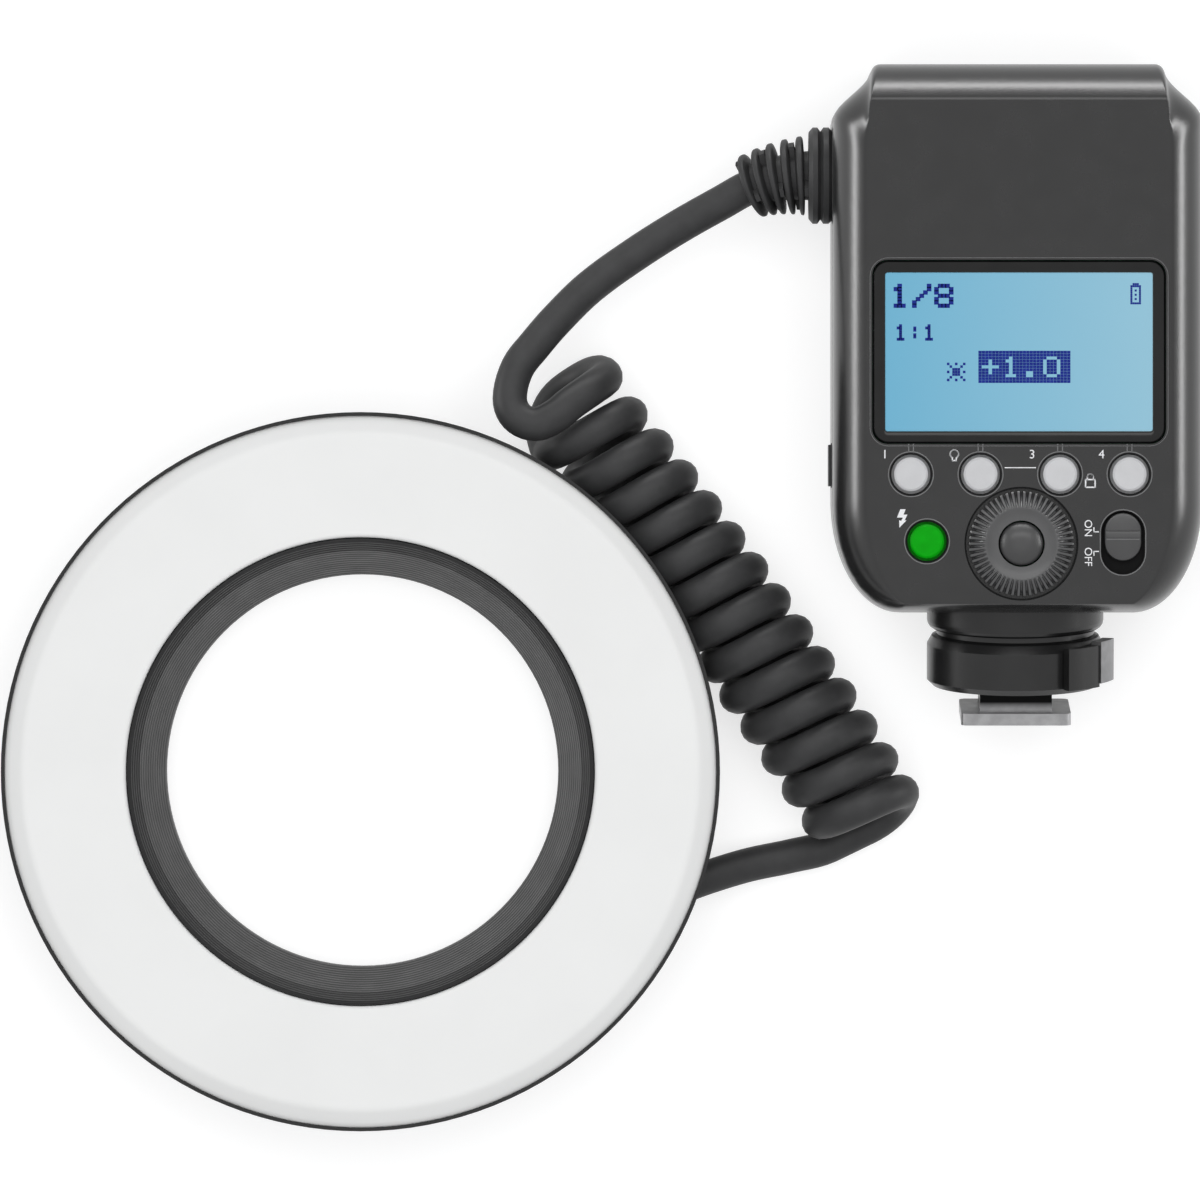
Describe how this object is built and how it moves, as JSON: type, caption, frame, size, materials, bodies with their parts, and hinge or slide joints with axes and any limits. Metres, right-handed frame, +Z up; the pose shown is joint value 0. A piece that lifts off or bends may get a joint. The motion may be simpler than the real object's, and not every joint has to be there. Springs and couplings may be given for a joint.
{
  "type": "macro ring flash",
  "caption": "Macro ring flash lying flat: a ring-shaped flash head joined by a curly cord to a shoe-mount control unit with a display, keys and a dial.",
  "frame": {"origin": "centre of the lens bore at the table", "axes": "+Z up out of the lamp, +Y towards the control unit's top end, +X towards the control unit"},
  "size_m": [0.2034, 0.1807, 0.0455],
  "materials": {
    "dark_plastic": "satin dark grey moulded shell",
    "black_plastic": "fine-textured near-black moulded plastic",
    "window_plastic": "glossy black window over the display",
    "display_glass": "glass",
    "white_plastic": "white plastic",
    "diffuser_plastic": "milky translucent lamp cover",
    "board": "glass-fibre circuit board",
    "key_plastic": "light grey keys",
    "green_plastic": "translucent green button",
    "rubber": "dark grey matte rubber",
    "steel": "plain steel",
    "brass": "plain brass and copper parts",
    "aluminium": "sheet aluminium"
  },
  "bodies": {
    "control_unit": {"rear_cover": "dark_plastic", "front_cover": "black_plastic", "foot_base": "black_plastic", "lock_collar": "black_plastic", "battery_bay": "black_plastic", "tact_switches": "black_plastic", "dial_encoder": "black_plastic", "slide_switch": "black_plastic", "display_window": "window_plastic", "display_glass": "display_glass", "display_backlight": "white_plastic", "main_board": "board", "power_board": "board", "cord_gland": "rubber", "cord_boot": "rubber", "cord_lead": "rubber", "cord_coil": "rubber", "shoe_foot": "steel", "cover_screws": "steel", "foot_screws": "steel", "usb_socket": "steel", "battery_contacts": "brass", "transformer": "brass", "main_capacitor": "aluminium"},
    "key_1": {"key_1": "key_plastic"},
    "key_2": {"key_2": "key_plastic"},
    "key_3": {"key_3": "key_plastic"},
    "key_4": {"key_4": "key_plastic"},
    "test_button": {"test_button": "green_plastic"},
    "set_button": {"set_button": "dark_plastic"},
    "control_dial": {"control_dial": "dark_plastic"},
    "power_switch": {"power_switch": "dark_plastic"},
    "port_cover": {"port_cover": "rubber"},
    "battery": {"battery_pack": "dark_plastic"},
    "lock_lever": {"lock_lever": "dark_plastic", "lever_plate": "steel"},
    "lock_pin": {"lock_pin": "steel"},
    "shoe_contacts": {"shoe_contacts": "brass"},
    "release_left": {"release_left": "dark_plastic"},
    "release_right": {"release_right": "dark_plastic"},
    "ring_head": {"ring_housing": "black_plastic", "ring_sleeve": "dark_plastic", "ring_diffuser": "diffuser_plastic", "ring_reflector": "aluminium", "flash_tube_a": "display_glass", "flash_tube_b": "display_glass", "tube_clips": "white_plastic", "led_board": "board", "modelling_leds": "white_plastic", "trigger_coils": "brass", "ring_screws": "steel", "ring_gland": "rubber", "cord_tail": "rubber"}
  },
  "joints": [
    {"name": "key_1_press", "type": "slide", "parent": "control_unit", "child": "key_1", "axis": [0, 0, -1], "range_m": [0, 0.0005], "stiffness_N_per_m": 600},
    {"name": "key_2_press", "type": "slide", "parent": "control_unit", "child": "key_2", "axis": [0, 0, -1], "range_m": [0, 0.0005], "stiffness_N_per_m": 600},
    {"name": "key_3_press", "type": "slide", "parent": "control_unit", "child": "key_3", "axis": [0, 0, -1], "range_m": [0, 0.0005], "stiffness_N_per_m": 600},
    {"name": "key_4_press", "type": "slide", "parent": "control_unit", "child": "key_4", "axis": [0, 0, -1], "range_m": [0, 0.0005], "stiffness_N_per_m": 600},
    {"name": "test_button_press", "type": "slide", "parent": "control_unit", "child": "test_button", "axis": [0, 0, -1], "range_m": [0, 0.0005], "stiffness_N_per_m": 600},
    {"name": "set_button_press", "type": "slide", "parent": "control_unit", "child": "set_button", "axis": [0, 0, -1], "range_m": [0, 0.0005], "stiffness_N_per_m": 600},
    {"name": "dial_turn", "type": "hinge", "parent": "control_unit", "child": "control_dial", "pos_m": [0.1116, 0.0386, 0.044], "axis": [0, 0, 1], "continuous": true},
    {"name": "power_slide", "type": "slide", "parent": "control_unit", "child": "power_switch", "axis": [0, -1, 0], "range_m": [0, 0.0019]},
    {"name": "lock_turn", "type": "hinge", "parent": "control_unit", "child": "lock_lever", "pos_m": [0.1112, 0.01908, 0.01889], "axis": [0, 0.9903, 0.1392], "range_deg": [0, 60]},
    {"name": "lock_pin_slide", "type": "slide", "parent": "control_unit", "child": "lock_pin", "axis": [0, -0.9903, -0.1392], "range_m": [0, 0.0015]},
    {"name": "contacts_press", "type": "slide", "parent": "control_unit", "child": "shoe_contacts", "axis": [0, 0.9903, 0.1392], "range_m": [0, 0.0007], "stiffness_N_per_m": 600},
    {"name": "battery_slide", "type": "slide", "parent": "control_unit", "child": "battery", "axis": [1, 0, 0], "range_m": [0, 0.05]},
    {"name": "port_cover_open", "type": "hinge", "parent": "control_unit", "child": "port_cover", "pos_m": [0.0795, 0.0485, 0.016], "axis": [0, 0, 1], "range_deg": [0, 110]},
    {"name": "ring_lift", "type": "slide", "parent": "control_unit", "child": "ring_head", "axis": [0, 0, 1], "range_m": [0, 0.15], "deforming": ["cord_coil"]},
    {"name": "release_left_press", "type": "slide", "parent": "ring_head", "child": "release_left", "axis": [1, 0, 0], "range_m": [0, 0.0015], "stiffness_N_per_m": 600},
    {"name": "release_right_press", "type": "slide", "parent": "ring_head", "child": "release_right", "axis": [-1, 0, 0], "range_m": [0, 0.0015], "stiffness_N_per_m": 600}
  ],
  "couplings": [
    {"joint": "lock_pin_slide", "follows": "lock_turn", "m_per_rad": 0.0014324}
  ]
}
